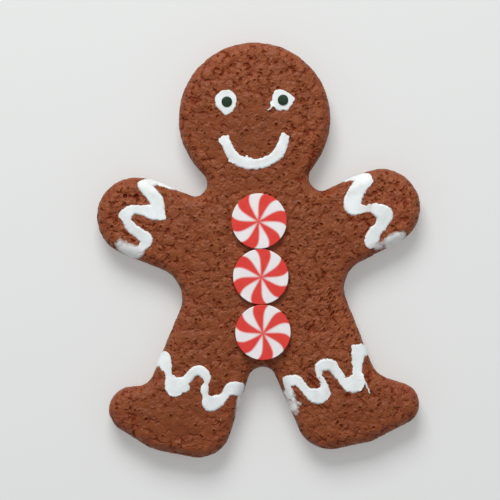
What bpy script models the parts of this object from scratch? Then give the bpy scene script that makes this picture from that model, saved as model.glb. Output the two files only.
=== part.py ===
# A gingerbread man 75 mm tall, modelled in polymer clay as a copy of the iced biscuit.
# It lies on its back, decorated face up (+Z) and head towards +Y. Left and right are as seen
# from above. The origin is on the underside, in the middle of the length and the width.
import math

import bmesh
import bpy
import numpy as np
from mathutils import Vector, geometry, noise

MM = 0.001
GAP = 0.3 * MM

# The slab of clay: flat underside, straight sides, rounded upper edge, slightly crowned face.
SLAB_HEIGHT = 6.0 * MM
CROWN = 0.3 * MM
CROWN_REACH = 5.0 * MM
RIM_RADIUS = 2.2 * MM
FOOT_RADIUS = 0.5 * MM
SHOULDER = SLAB_HEIGHT - CROWN
CLAY_STEP = 1.25 * MM

# The figure's outline is one belt of arcs joined by tangents, anticlockwise from the head.
# Each row: centre x, centre y, radius in mm. A minus radius is a hollow, outside the clay.
OUTLINE = {
    "head": (-0.7, 23.8, 13.6),
    "left neck": (-11.5, 12.0, -2.35),
    "left hand": (-22.1, 6.0, 7.0),
    "left waist": (-19.5, -8.8, -5.75),
    "left ankle": (-22.1, -21.3, -3.4),
    "left toe": (-22.9, -28.8, 4.0),
    "left sole": (-15.8, -27.1, 9.3),
    "left heel": (-10.8, -31.6, 5.8),
    "crotch": (0.7, -23.7, -2.7),
    "right heel": (13.0, -29.7, 6.2),
    "right sole": (17.5, -26.3, 8.6),
    "right toe": (25.2, -27.8, 3.75),
    "right ankle": (24.9, -18.5, -5.0),
    "right waist": (20.8, -6.9, -5.4),
    "right hand": (22.2, 7.7, 6.9),
    "right neck": (11.4, 13.1, -2.4),
}

# Crags: the face is stippled, deeper towards the rim. They only cut into the clay.
CRAG_DEPTH = 0.32 * MM
CRAG_COARSE = 4.2 * MM
CRAG_FINE = 2.0 * MM

# Three slices of a striped cane down the front, nearly touching.
CANDY_RADIUS = 4.85 * MM
CANDY_HEIGHT = 1.2 * MM
CANDY_EDGE = 0.15 * MM
CANDY_SIDES = 48
CANDY_CENTRES = {"top": (0.1, 5.2), "middle": (0.4, -4.8), "bottom": (0.8, -14.8)}

# Icing is a thin flat bead, drawn in one or more strokes. Each row of a stroke: x, y and half its
# width in mm, measured along the surface, so a stroke that passes the outline carries on down
# the side.
ICING_HEIGHT = 0.5 * MM
ICING_SHOULDER = 0.6 * MM
ICING_LIP = 0.12 * MM
ICING_STEP = 0.7 * MM
ICING_STROKES = {
    "icing_arm_left": [
        [(-15.0, 11.7, 0.45), (-17.0, 12.6, 1.1), (-18.1, 13.0, 1.05), (-20.4, 12.1, 1.0),
         (-20.9, 11.7, 1.0), (-20.0, 10.8, 1.2), (-19.1, 9.9, 1.3), (-18.3, 8.6, 1.3),
         (-18.0, 7.0, 1.25), (-17.4, 6.2, 0.8)],
        [(-18.2, 7.4, 1.2), (-19.4, 6.9, 1.35), (-20.9, 7.2, 1.05), (-22.4, 7.3, 0.85),
         (-23.8, 6.6, 1.1), (-23.6, 5.1, 0.95), (-22.6, 3.8, 1.1), (-21.3, 2.8, 1.1),
         (-20.2, 1.9, 1.25), (-20.6, 0.9, 1.0), (-21.3, 0.2, 0.8), (-22.2, -0.1, 0.7)],
    ],
    "icing_arm_right": [
        [(15.6, 13.1, 0.55), (16.6, 13.4, 0.8), (17.9, 13.1, 1.1), (19.0, 12.7, 1.5),
         (18.4, 11.7, 1.5), (17.6, 10.3, 1.55), (16.9, 8.8, 1.65), (17.1, 7.7, 1.5),
         (19.0, 7.4, 0.8), (20.1, 7.5, 0.9), (21.3, 7.3, 1.2), (22.7, 6.4, 1.55),
         (22.4, 5.1, 1.3), (21.9, 4.2, 1.15), (21.0, 3.2, 1.25), (20.4, 2.1, 1.4),
         (20.1, 1.4, 1.2), (21.2, 0.9, 0.7)],
    ],
    "icing_leg_left": [
        [(-18.8, -20.2, 0.9), (-17.9, -19.7, 1.35), (-17.1, -19.7, 1.5), (-16.9, -20.9, 1.0),
         (-16.3, -22.4, 0.75), (-15.6, -23.8, 1.3), (-15.1, -24.6, 1.8), (-14.2, -24.2, 1.3),
         (-13.4, -23.8, 1.05), (-12.6, -22.9, 0.9), (-11.7, -22.0, 1.0), (-10.8, -21.7, 1.05),
         (-9.8, -22.2, 1.05), (-9.3, -23.1, 0.8), (-9.5, -24.2, 0.7), (-9.75, -25.3, 0.85),
         (-9.6, -26.2, 0.75), (-8.8, -27.7, 1.4), (-7.8, -27.4, 1.35), (-6.8, -27.0, 1.05),
         (-5.9, -26.0, 0.85), (-5.3, -25.1, 1.05), (-4.4, -24.9, 1.4), (-3.3, -25.0, 1.25),
         (-2.8, -26.3, 0.7)],
    ],
    "icing_leg_right": [
        [(5.7, -26.4, 0.6), (5.2, -24.5, 0.8), (5.2, -23.4, 0.8), (6.1, -23.5, 1.0),
         (6.9, -23.5, 1.05), (7.7, -24.3, 1.0), (8.6, -25.4, 0.9), (9.5, -26.0, 1.15),
         (10.5, -26.3, 1.5), (11.5, -26.0, 1.35), (11.8, -24.6, 0.85), (11.4, -23.4, 0.7),
         (10.9, -22.4, 0.7), (11.1, -21.0, 1.0), (12.2, -20.6, 1.15), (13.2, -20.8, 1.1),
         (14.0, -21.8, 1.0), (14.8, -22.9, 0.9), (15.6, -24.0, 0.95), (17.2, -24.1, 1.7),
         (17.8, -22.8, 1.05), (17.75, -21.6, 0.95), (17.8, -20.2, 1.05), (17.95, -18.9, 1.3),
         (18.4, -18.0, 1.1), (19.3, -18.1, 1.1), (20.2, -17.8, 0.75)],
    ],
    "icing_smile": [
        [(-6.3, 19.7, 0.9), (-5.8, 19.1, 1.0), (-5.3, 18.1, 1.05), (-4.7, 17.1, 1.05),
         (-3.8, 16.2, 1.05), (-2.6, 15.7, 1.05), (-1.3, 15.5, 1.1), (0.1, 15.5, 1.05),
         (1.4, 15.9, 1.05), (2.6, 16.5, 1.05), (3.6, 17.4, 1.15), (4.2, 18.5, 1.1),
         (4.5, 19.4, 1.0), (4.6, 20.0, 0.85)],
    ],
}

# Each eye is a flat blob of icing, built as a few short strokes, with a round pupil on it.
EYE_STEP = 0.5 * MM
EYE_STROKES = {
    "eye_left": [
        [(-7.2, 26.9, 0.75), (-6.2, 27.0, 1.65), (-5.7, 27.0, 1.8), (-5.75, 25.9, 1.4),
         (-5.8, 25.0, 0.85)],
        [(-5.7, 27.2, 1.4), (-5.55, 28.1, 0.9)],
        [(-6.75, 26.3, 1.1), (-6.3, 25.5, 1.0), (-5.3, 25.4, 1.0), (-4.75, 26.1, 0.85)],
    ],
    "eye_right": [
        [(3.45, 28.25, 0.8), (4.0, 27.3, 1.6), (4.3, 26.9, 1.6), (4.9, 25.8, 0.85)],
        [(4.9, 27.3, 1.2), (5.5, 27.1, 0.9), (6.2, 27.2, 0.4)],
        [(2.65, 26.45, 0.6), (3.6, 26.6, 1.0), (3.9, 25.85, 0.95), (5.3, 26.45, 0.95)],
    ],
}
PUPIL_RADIUS = 0.92 * MM
PUPIL_HEIGHT = 0.4 * MM
PUPIL_SIDES = 24
PUPIL_CENTRES = {"pupil_left": (-5.7, 26.7), "pupil_right": (4.4, 27.0)}

# Finishes: sRGB colour, roughness
BROWN_CLAY = ("brown polymer clay, stippled", (0.486, 0.267, 0.173), 0.7)
WHITE_ICING = ("white liquid clay icing", (0.89, 0.90, 0.89), 0.6)
CANDY_CLAY = ("red and white cane clay, sliced", (0.847, 0.278, 0.247), 0.55)
PUPIL_CLAY = ("dark green clay", (0.184, 0.275, 0.196), 0.6)


def clear_scene():
    for thing in list(bpy.data.objects):
        bpy.data.objects.remove(thing, do_unlink=True)


def linear(channel):
    """An sRGB channel from 0 to 1 as scene-linear light."""
    if channel <= 0.04045:
        return channel / 12.92
    return ((channel + 0.055) / 1.055) ** 2.4


def finish(name, colour, roughness):
    """A Principled material of the given sRGB colour."""
    material = bpy.data.materials.new(name)
    material.use_nodes = True
    shader = material.node_tree.nodes["Principled BSDF"]
    shader.inputs["Base Color"].default_value = [linear(c) for c in colour] + [1.0]
    shader.inputs["Roughness"].default_value = roughness
    shader.inputs["Metallic"].default_value = 0.0
    return material


def add_object(name, bm, material, smooth_angle=math.radians(40)):
    """Turn the bmesh into a named object, shaded smooth but for its sharp edges."""
    bmesh.ops.triangulate(bm, faces=bm.faces)
    bmesh.ops.recalc_face_normals(bm, faces=bm.faces)
    mesh = bpy.data.meshes.new(name)
    bm.to_mesh(mesh)
    bm.free()
    mesh.materials.append(material)
    mesh.shade_smooth()
    mesh.set_sharp_from_angle(angle=smooth_angle)
    piece = bpy.data.objects.new(name, mesh)
    bpy.context.scene.collection.objects.link(piece)
    return piece


def tangent_angles(circles):
    """The outward normal, as an angle, of the tangent from each circle to the next."""
    angles = []
    for here, ahead in zip(circles, circles[1:] + circles[:1]):
        run = math.hypot(ahead[0] - here[0], ahead[1] - here[1])
        course = math.atan2(ahead[1] - here[1], ahead[0] - here[0])
        angles.append(course - math.acos((here[2] - ahead[2]) / run))
    return angles


def spaced(start, end, step):
    """Points along a straight run, without its two ends, about one step apart."""
    parts = round(math.dist(start[:2], end[:2]) / step)
    return [tuple(a + (b - a) * i / parts for a, b in zip(start, end)) for i in range(1, parts)]


def belt(circles, step):
    """Points (x, y, normal x, normal y) round the belt, about one step apart."""
    angles = tangent_angles(circles)
    points = []
    for i, (x, y, radius) in enumerate(circles):
        sweep = (angles[i] - angles[i - 1]) % math.tau
        if radius < 0:
            sweep -= math.tau
        parts = max(2, round(abs(sweep * radius) / step))
        arc = []
        for j in range(parts + 1):
            angle = angles[i - 1] + sweep * j / parts
            c, s = math.cos(angle), math.sin(angle)
            arc.append((x + radius * c, y + radius * s, c, s))
        if points:
            points += spaced(points[-1], arc[0], step)
        points += arc
    points += spaced(points[-1], points[0], step)
    return np.array(points)


CIRCLES = [tuple(v * MM for v in row) for row in OUTLINE.values()]


def edge_parts():
    """The outline's arcs as (centre, radius, first angle, sweep) and its straights as (ends)."""
    angles = tangent_angles(CIRCLES)
    arcs = []
    straights = []
    for i, (x, y, radius) in enumerate(CIRCLES):
        sweep = (angles[i] - angles[i - 1]) % math.tau
        if radius < 0:
            sweep -= math.tau
        arcs.append((np.array([x, y]), radius, angles[i - 1], sweep))
        normal = np.array([math.cos(angles[i]), math.sin(angles[i])])
        ahead = CIRCLES[(i + 1) % len(CIRCLES)]
        straights.append((np.array([x, y]) + radius * normal,
                          np.array(ahead[:2]) + ahead[2] * normal, normal))
    return arcs, straights


ARCS, STRAIGHTS = edge_parts()


def from_edge(points):
    """For each point, its depth inside the outline, and the outline's normal beside it."""
    depths = np.full(len(points), 1.0)
    normals = np.zeros((len(points), 2))
    for centre, radius, first, sweep in ARCS:
        side = math.copysign(1.0, radius)
        away = side * (points - centre)
        reach = np.maximum(np.linalg.norm(away, axis=1), 1e-9)
        turned = side * (np.arctan2(away[:, 1], away[:, 0]) - first) % math.tau
        depth = radius - side * reach
        nearer = (turned <= abs(sweep)) & (np.abs(depth) < np.abs(depths))
        depths = np.where(nearer, depth, depths)
        normals = np.where(nearer[:, None], away / reach[:, None], normals)
    for start, end, normal in STRAIGHTS:
        along = (points - start) @ (end - start) / ((end - start) @ (end - start))
        depth = (start - points) @ normal
        nearer = (along >= 0) & (along <= 1) & (np.abs(depth) < np.abs(depths))
        depths = np.where(nearer, depth, depths)
        normals = np.where(nearer[:, None], normal, normals)
    return depths, normals


def crowned(depth):
    """Height of the clay's face, before its crags, at a depth inside the outline."""
    t = np.clip((depth - RIM_RADIUS) / CROWN_REACH, 0.0, 1.0)
    return SHOULDER + CROWN * t * t * (3.0 - 2.0 * t)


def lay(points, heights):
    """Wrap flat points onto the face, over the rim and down the side, and lift them off it."""
    depths, normals = from_edge(points)
    turn = np.clip((RIM_RADIUS - depths) / RIM_RADIUS, 0.0, math.pi / 2)
    drop = np.maximum(RIM_RADIUS - depths - RIM_RADIUS * math.pi / 2, 0.0)
    reach = RIM_RADIUS + heights
    inset = RIM_RADIUS - reach * np.sin(turn)
    wrapped = points + normals * (depths - inset)[:, None]
    over_rim = depths < RIM_RADIUS
    flat = np.where(over_rim[:, None], wrapped, points)
    low = SHOULDER - RIM_RADIUS + reach * np.cos(turn) - drop
    z = np.where(over_rim, low, crowned(depths) + heights)
    return np.column_stack([flat, z])


def crag(point, share):
    """Depth of the crags at a point: two sizes of noise, of which only the dips count."""
    coarse = noise.noise(Vector(point) / CRAG_COARSE)
    fine = noise.noise(Vector(point) / CRAG_FINE + Vector((7.0, 3.0, 5.0)))
    return CRAG_DEPTH * share * min(1.0, max(0.0, 0.25 + 0.6 * coarse + 0.7 * fine))


def clay_rings():
    """The slab's rings from the rim's top to the underside: inset, height, share of crags."""
    rings = []
    for angle in (0.0, 22.5, 45.0, 67.5, 90.0):
        turn = math.radians(angle)
        inset = RIM_RADIUS * (1.0 - math.sin(turn))
        rings.append((inset, SHOULDER - RIM_RADIUS * (1.0 - math.cos(turn)), turn, 1.0))
    rings.append((0.0, (SHOULDER - RIM_RADIUS + FOOT_RADIUS) / 2, math.pi / 2, 0.8))
    rings.append((0.0, FOOT_RADIUS, math.pi / 2, 0.0))
    rings.append((FOOT_RADIUS, 0.0, math.pi, 0.0))
    return rings


def lattice(low, high, step):
    """Points of a triangular lattice over a box, row by row, as a 2-D array of points."""
    rows = int((high[1] - low[1]) / (step * math.sqrt(3) / 2)) + 2
    columns = int((high[0] - low[0]) / step) + 2
    x = low[0] + step * (np.arange(columns)[None, :] + 0.5 * (np.arange(rows)[:, None] % 2))
    y = low[1] + step * math.sqrt(3) / 2 * np.arange(rows)[:, None]
    return np.stack([x, np.broadcast_to(y, x.shape)], axis=2)


def clay_body(name, material):
    """The slab: rings round the rim and sides, a lattice over the face, a flat underside."""
    rim = belt(CIRCLES, CLAY_STEP)
    bm = bmesh.new()
    rings = []
    for inset, height, turn, share in clay_rings():
        ring = []
        for x, y, nx, ny in rim:
            out = math.sin(turn)
            point = (x - nx * inset, y - ny * inset, height)
            depth = crag(point, share)
            normal = (nx * out, ny * out, math.cos(turn))
            ring.append(bm.verts.new([p - n * depth for p, n in zip(point, normal)]))
        rings.append(ring)
    count = len(rim)
    for upper, lower in zip(rings, rings[1:]):
        for i in range(count):
            j = (i + 1) % count
            bm.faces.new((upper[i], lower[i], lower[j], upper[j]))
    bm.faces.new(list(reversed(rings[-1])))

    grid = lattice(rim[:, :2].min(axis=0), rim[:, :2].max(axis=0), CLAY_STEP).reshape(-1, 2)
    depths = from_edge(grid)[0]
    inner = grid[depths > RIM_RADIUS + 0.6 * CLAY_STEP]
    heights = crowned(from_edge(inner)[0])
    face = list(rings[0])
    for (x, y), z in zip(inner, heights):
        depth = crag((x, y, z), 0.8)
        face.append(bm.verts.new((x, y, z - depth)))
    flat = [Vector(v.co[:2]) for v in face]
    loop = [(i, (i + 1) % count) for i in range(count)]
    triangles = geometry.delaunay_2d_cdt(flat, loop, [], 1, 1e-9)[2]
    for triangle in triangles:
        bm.faces.new([face[i] for i in triangle])
    return add_object(name, bm, material)


def stroke_depth(points, strokes):
    """How far each point lies inside strokes made of discs joined by straight tapering runs."""
    deepest = np.full(len(points), -1.0)
    for stroke in strokes:
        for (ax, ay, ar), (bx, by, br) in zip(stroke, stroke[1:]):
            start = np.array([ax, ay]) * MM
            run = np.array([bx - ax, by - ay]) * MM
            along = np.clip(((points - start) @ run) / (run @ run), 0.0, 1.0)
            aside = np.linalg.norm(points - start - along[:, None] * run, axis=1)
            deepest = np.maximum(deepest, (ar + (br - ar) * along) * MM - aside)
    return deepest


def drawn_to_margin(points, depths, strokes, step):
    """Move the points that are close to the strokes' margin onto it."""
    near = np.abs(depths) < 0.3 * step
    probe = 0.02 * MM
    slope = np.column_stack([
        stroke_depth(points + (probe, 0.0), strokes) - stroke_depth(points - (probe, 0.0), strokes),
        stroke_depth(points + (0.0, probe), strokes) - stroke_depth(points - (0.0, probe), strokes),
    ])
    slope /= np.maximum(np.linalg.norm(slope, axis=1), 1e-12)[:, None]
    points = np.where(near[:, None], points - slope * depths[:, None], points)
    return points, np.where(near, 0.0, depths)


def filled(strokes, step):
    """Lattice points and faces that fill the strokes, cut off at their margin."""
    spots = np.concatenate(strokes) * MM
    reach = spots[:, 2].max() + 2 * step
    grid = lattice(spots[:, :2].min(axis=0) - reach, spots[:, :2].max(axis=0) + reach, step)
    rows, columns = grid.shape[:2]
    points = grid.reshape(-1, 2)
    points, depths = drawn_to_margin(points, stroke_depth(points, strokes), strokes, step)
    points = [tuple(p) for p in points]
    crossings = {}

    def crossing(a, b):
        """The margin's point on the lattice edge from a to b, made once."""
        key = (min(a, b), max(a, b))
        if key not in crossings:
            share = depths[a] / (depths[a] - depths[b])
            crossings[key] = len(points)
            points.append(tuple(p + (q - p) * share for p, q in zip(points[a], points[b])))
        return crossings[key]

    faces = []
    for row in range(rows - 1):
        for column in range(columns - 1):
            a = row * columns + column
            b, c, d = a + 1, a + columns, a + columns + 1
            halves = ((a, b, d), (a, d, c)) if row % 2 else ((a, b, c), (b, d, c))
            for corners in halves:
                if max(depths[i] for i in corners) <= 0:
                    continue
                face = []
                for here, ahead in zip(corners, corners[1:] + corners[:1]):
                    if depths[here] >= 0:
                        face.append(here)
                    if depths[here] * depths[ahead] < 0:
                        face.append(crossing(here, ahead))
                faces.append(face)
    return np.array(points), faces


def bead_height(depth):
    """Height of the icing above its lip at a depth inside its margin: round shoulder, flat top."""
    t = 1.0 - np.clip(depth / ICING_SHOULDER, 0.0, 1.0)
    return (ICING_HEIGHT - ICING_LIP) * np.sqrt(1.0 - t * t)


def icing(name, strokes, step, material):
    """A thin bead of icing along its strokes, laid over the clay with a small gap."""
    points, faces = filled(strokes, step)
    used = sorted({i for face in faces for i in face})
    place = {old: new for new, old in enumerate(used)}
    points = points[used]
    depths = np.maximum(stroke_depth(points, strokes), 0.0)
    under = lay(points, np.full(len(points), GAP))
    upper = lay(points, GAP + ICING_LIP + bead_height(depths))
    bm = bmesh.new()
    lower_verts = [bm.verts.new(p) for p in under]
    upper_verts = [bm.verts.new(p) for p in upper]
    sides = {}
    for face in faces:
        corners = [place[i] for i in face]
        bm.faces.new([upper_verts[i] for i in corners])
        bm.faces.new([lower_verts[i] for i in reversed(corners)])
        for here, ahead in zip(corners, corners[1:] + corners[:1]):
            if (ahead, here) in sides:
                del sides[(ahead, here)]
            else:
                sides[(here, ahead)] = True
    for here, ahead in sides:
        bm.faces.new((upper_verts[here], lower_verts[here], lower_verts[ahead], upper_verts[ahead]))
    return add_object(name, bm, material)


def disc(name, centre, radius, base, height, edge, sides, material):
    """A flat round slice with a slightly broken upper edge."""
    bm = bmesh.new()
    bmesh.ops.create_cone(
        bm, cap_ends=True, segments=sides, radius1=radius, radius2=radius, depth=height)
    rim = [e for e in bm.edges if all(v.co.z > 0 for v in e.verts)]
    bmesh.ops.bevel(bm, geom=rim, offset=edge, segments=2, profile=0.5, affect="EDGES")
    bmesh.ops.translate(bm, verts=bm.verts, vec=(centre[0] * MM, centre[1] * MM, base + height / 2))
    return add_object(name, bm, material)


clear_scene()

clay_body("cookie", finish(*BROWN_CLAY))

white = finish(*WHITE_ICING)
for icing_name, icing_strokes in ICING_STROKES.items():
    icing(icing_name, icing_strokes, ICING_STEP, white)
for eye_name, eye_strokes in EYE_STROKES.items():
    icing(eye_name, eye_strokes, EYE_STEP, white)

striped = finish(*CANDY_CLAY)
for place_name, candy_centre in CANDY_CENTRES.items():
    disc("candy_" + place_name, candy_centre, CANDY_RADIUS, SLAB_HEIGHT + GAP,
         CANDY_HEIGHT, CANDY_EDGE, CANDY_SIDES, striped)

green = finish(*PUPIL_CLAY)
for pupil_name, pupil_centre in PUPIL_CENTRES.items():
    disc(pupil_name, pupil_centre, PUPIL_RADIUS, SLAB_HEIGHT + GAP + ICING_HEIGHT + GAP,
         PUPIL_HEIGHT, PUPIL_HEIGHT / 4, PUPIL_SIDES, green)
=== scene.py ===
import math

import bpy
import numpy as np
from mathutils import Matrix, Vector, geometry


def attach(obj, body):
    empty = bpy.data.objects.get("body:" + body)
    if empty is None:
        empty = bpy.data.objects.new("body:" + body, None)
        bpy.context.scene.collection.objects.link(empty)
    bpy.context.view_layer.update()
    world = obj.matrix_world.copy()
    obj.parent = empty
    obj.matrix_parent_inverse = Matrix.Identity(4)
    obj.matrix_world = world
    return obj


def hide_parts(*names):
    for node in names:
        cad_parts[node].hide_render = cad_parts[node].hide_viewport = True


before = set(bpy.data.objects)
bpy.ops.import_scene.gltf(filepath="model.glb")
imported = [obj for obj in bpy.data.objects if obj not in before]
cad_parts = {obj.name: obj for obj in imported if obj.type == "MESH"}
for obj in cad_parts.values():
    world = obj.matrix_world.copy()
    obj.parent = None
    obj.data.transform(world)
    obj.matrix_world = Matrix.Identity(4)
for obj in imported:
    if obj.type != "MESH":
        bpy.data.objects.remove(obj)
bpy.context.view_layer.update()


# The gingerbread man is one slab of brown polymer clay, cut out with its upper edge rounded by
# finger. A stiff brush was stippled over it before baking, which left dimples, slits and soft
# lumps all over, deeper towards the edges, on the hands and on the right hip.
MM = 0.001
SLAB_HEIGHT = 6.0 * MM
CROWN = 0.3 * MM
CROWN_REACH = 5.0 * MM
RIM_RADIUS = 2.2 * MM
FOOT_RADIUS = 0.5 * MM
SHOULDER = SLAB_HEIGHT - CROWN
FACE_STEP = 0.205 * MM
EDGE_STEP = 0.25 * MM
RIM_RINGS = 15
SIDE_RINGS = 7
FOOT_RINGS = 3
UNDERSIDE_STEP = 2.0 * MM

# The outline is a belt of arcs joined by tangents, anticlockwise: centre x, y and radius in mm.
# A minus radius is a hollow.
OUTLINE = {
    "head": (-0.7, 23.8, 13.6),
    "left neck": (-11.5, 12.0, -2.35),
    "left hand": (-22.1, 6.0, 7.0),
    "left waist": (-19.5, -8.8, -5.75),
    "left ankle": (-22.1, -21.3, -3.4),
    "left toe": (-22.9, -28.8, 4.0),
    "left sole": (-15.8, -27.1, 9.3),
    "left heel": (-10.8, -31.6, 5.8),
    "crotch": (0.7, -23.7, -2.7),
    "right heel": (13.0, -29.7, 6.2),
    "right sole": (17.5, -26.3, 8.6),
    "right toe": (25.2, -27.8, 3.75),
    "right ankle": (24.9, -18.5, -5.0),
    "right waist": (20.8, -6.9, -5.4),
    "right hand": (22.2, 7.7, 6.9),
    "right neck": (11.4, 13.1, -2.4),
}

# Where the brush went deeper or lighter: x, y and reach in mm, and how much rougher.
BRUSHED_SPOTS = {
    "forehead": (-3.0, 33.0, 6.0, 0.25),
    "right cheek": (8.0, 22.0, 5.0, 0.2),
    "face": (-0.5, 21.5, 7.0, -0.2),
    "belly": (-8.0, -2.0, 8.0, 0.05),
    "right belly": (10.0, 0.0, 7.0, 0.05),
    "left hand": (-23.0, 6.0, 6.0, 0.25),
    "right hand": (24.0, 7.0, 6.0, 0.45),
    "right hip": (14.0, -14.0, 7.0, 0.3),
    "right foot": (20.0, -28.0, 8.0, 0.0),
    "left foot": (-15.0, -31.0, 7.0, -0.2),
}
ROUGH_ALL_OVER = 0.5
ROUGH_AT_RIM = 0.25
RIM_REACH = 3.5 * MM

# Layers of hollows: spacing in mm along and across their run, how far the run is turned, their
# radius as a share of the spacing, how many of them show, how deep they go in mm, and the
# attribute that says where they show.
HOLLOWS = [
    {"cell": (0.8, 0.8), "turn": 0.0, "radius": 0.3, "share": 0.4, "depth": 0.12, "where": "rough"},
    {"cell": (1.3, 1.3), "turn": 0.0, "radius": 0.23, "share": 0.85, "depth": 0.25, "where": "rough"},
    {"cell": (1.9, 0.8), "turn": 52.0, "radius": 0.28, "share": 0.3, "depth": 0.22, "where": "rough"},
    {"cell": (1.7, 0.8), "turn": -40.0, "radius": 0.28, "share": 0.26, "depth": 0.22, "where": "rough"},
    {"cell": (2.6, 0.8), "turn": 55.0, "radius": 0.32, "share": 0.55, "depth": 0.26, "where": "combed"},
    {"cell": (9.0, 0.8), "turn": -42.0, "radius": 0.3, "share": 0.45, "depth": 0.26, "where": "dragged"},
]
# The clay pushed out of a hollow stands up round it as a lip: its height as a share of the
# hollow's depth, and its outer radius as a share of the hollow's.
LIP_SHARE = 0.2
LIP_REACH = 1.7
# Where the bristles were drawn through the clay: x, y and reach in mm.
COMBED = (13.0, -12.5, 6.5)
DRAGGED = (12.0, -27.0, 8.0)
# Two deep pricks in the left hand: x, y, radius and depth in mm.
PRICKS = [(-24.0, 9.7, 0.42, 0.5), (-22.0, 9.7, 0.42, 0.45)]
# The clay between the hollows stands in low lumps, with a broken crack here and there between
# two of the large ones: sizes, heights, width and depth in mm.
LUMPS = [(1.8, 0.2), (0.9, 0.08)]
CRACK_WIDTH = 0.25
CRACK_DEPTH = 0.2
GRAIN_SIZE = 0.4
GRAIN_HEIGHT = 0.14
SWELL_SIZE = 4.5
SWELL_HEIGHT = 0.2
STIPPLE_WARP = 0.45
# How much paler the clay is where it is rough, as a share of its red, green and blue, and the
# roughness at which it has its ordinary tone.
PALER = (0.55, 0.7, 1.1)
ORDINARY = 0.55
# The sizes of soft clouds, in mm: patches of livelier lumps, the wandering of the bristles, the
# breaks in the cracks, the mottled tones of the clay and the streaks in the wash.
PATCH_SIZE = 3.0
BEND_SIZE = 1.3
BREAK_SIZE = 1.2
MOTTLE_SIZE = 1.6
STREAK_SIZE = 0.9
# The wash ends this high on the side. The foot of the side is left as cut, and the brush's work
# grows to its full height over the rest of it. All in mm.
WASH_END = 2.5
CUT_FOOT = 0.6
CUT_FADE = 4.5
# The lumps stand this far above the drawn outline, in mm, so that on average it is kept.
STAND = 0.2
# Flecks of pale dust baked into the face: how many per square metre, their radius, and the seed
# that scatters them.
FLECK_DENSITY = 20000.0
FLECK_RADIUS = 0.07 * MM
FLECK_SEED = 5

# Where the white liquid clay was wiped on so thinly that it only tints the brown, in strokes of
# rows: x, y, half width in mm and share of the full coat.
WASHES = {
    "left arm": [(-21.6, -0.3, 0.9, 1.0), (-22.6, -0.3, 1.0, 0.95), (-23.8, 0.2, 1.05, 0.85),
                 (-24.9, 1.0, 0.9, 0.7)],
    "right arm": [(21.2, 0.8, 0.7, 0.75), (22.4, 1.0, 0.65, 0.5), (23.6, 1.3, 1.05, 0.85),
                  (24.8, 2.0, 1.15, 0.95), (25.8, 2.7, 0.8, 0.7)],
    "left leg": [(-3.1, -26.4, 0.7, 0.9), (-3.5, -28.0, 0.6, 0.8), (-4.0, -29.8, 0.4, 0.6)],
    "right leg": [(5.5, -25.6, 0.8, 0.9), (5.9, -26.8, 0.9, 0.7), (6.2, -28.2, 1.0, 0.8),
                  (6.8, -29.2, 0.6, 0.5)],
    "right leg spike": [(6.2, -27.4, 0.4, 0.7), (7.6, -27.6, 0.3, 0.6)],
}


def hex_colour(code):
    """An sRGB hex colour as linear light."""
    channels = [int(code[i:i + 2], 16) / 255 for i in (1, 3, 5)]
    return [c / 12.92 if c <= 0.04045 else ((c + 0.055) / 1.055) ** 2.4 for c in channels] + [1.0]


def add_node(tree, kind, inputs=None, **settings):
    """Add a node with its settings, and set or link its inputs by name or number."""
    node = tree.nodes.new(kind)
    for name, value in settings.items():
        setattr(node, name, value)
    for key, value in (inputs or {}).items():
        if isinstance(value, bpy.types.NodeSocket):
            tree.links.new(value, node.inputs[key])
        else:
            node.inputs[key].default_value = value
    return node


def new_finish(name, **constants):
    """A Principled material with its constants set, and its tree and shader."""
    material = bpy.data.materials.new(name)
    material.use_nodes = True
    tree = material.node_tree
    shader = tree.nodes["Principled BSDF"]
    for label, value in constants.items():
        shader.inputs[label.replace("_", " ")].default_value = value
    return material, tree, shader


def new_work(name, inputs):
    """A Geometry Nodes tree with named inputs, and the sockets of its input node by name."""
    tree = bpy.data.node_groups.new(name, "GeometryNodeTree")
    tree.interface.new_socket("Geometry", in_out="INPUT", socket_type="NodeSocketGeometry")
    tree.interface.new_socket("Geometry", in_out="OUTPUT", socket_type="NodeSocketGeometry")
    for label, kind in inputs.items():
        tree.interface.new_socket(label, in_out="INPUT", socket_type="NodeSocket" + kind)
    return tree, add_node(tree, "NodeGroupInput").outputs


def worked(name, mesh, tree, settings):
    """Run a Geometry Nodes tree on a mesh and keep the outcome as a plain mesh object."""
    piece = bpy.data.objects.new(name, mesh)
    bpy.context.scene.collection.objects.link(piece)
    modifier = piece.modifiers.new("work", "NODES")
    modifier.node_group = tree
    sockets = {i.name: i.identifier for i in tree.interface.items_tree if i.in_out == "INPUT"}
    for label, value in settings.items():
        modifier[sockets[label]] = value
    outcome = piece.evaluated_get(bpy.context.evaluated_depsgraph_get())
    plain = bpy.data.meshes.new_from_object(outcome)
    piece.modifiers.remove(modifier)
    piece.data = plain
    return piece


def tangent_angles(circles):
    """The outward normal, as an angle, of the tangent from each circle to the next."""
    angles = []
    for here, ahead in zip(circles, circles[1:] + circles[:1]):
        run = math.hypot(ahead[0] - here[0], ahead[1] - here[1])
        course = math.atan2(ahead[1] - here[1], ahead[0] - here[0])
        angles.append(course - math.acos((here[2] - ahead[2]) / run))
    return angles


def spaced(start, end, step):
    """Points along a straight run, without its two ends, about one step apart."""
    parts = round(math.dist(start[:2], end[:2]) / step)
    return [tuple(a + (b - a) * i / parts for a, b in zip(start, end)) for i in range(1, parts)]


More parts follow.
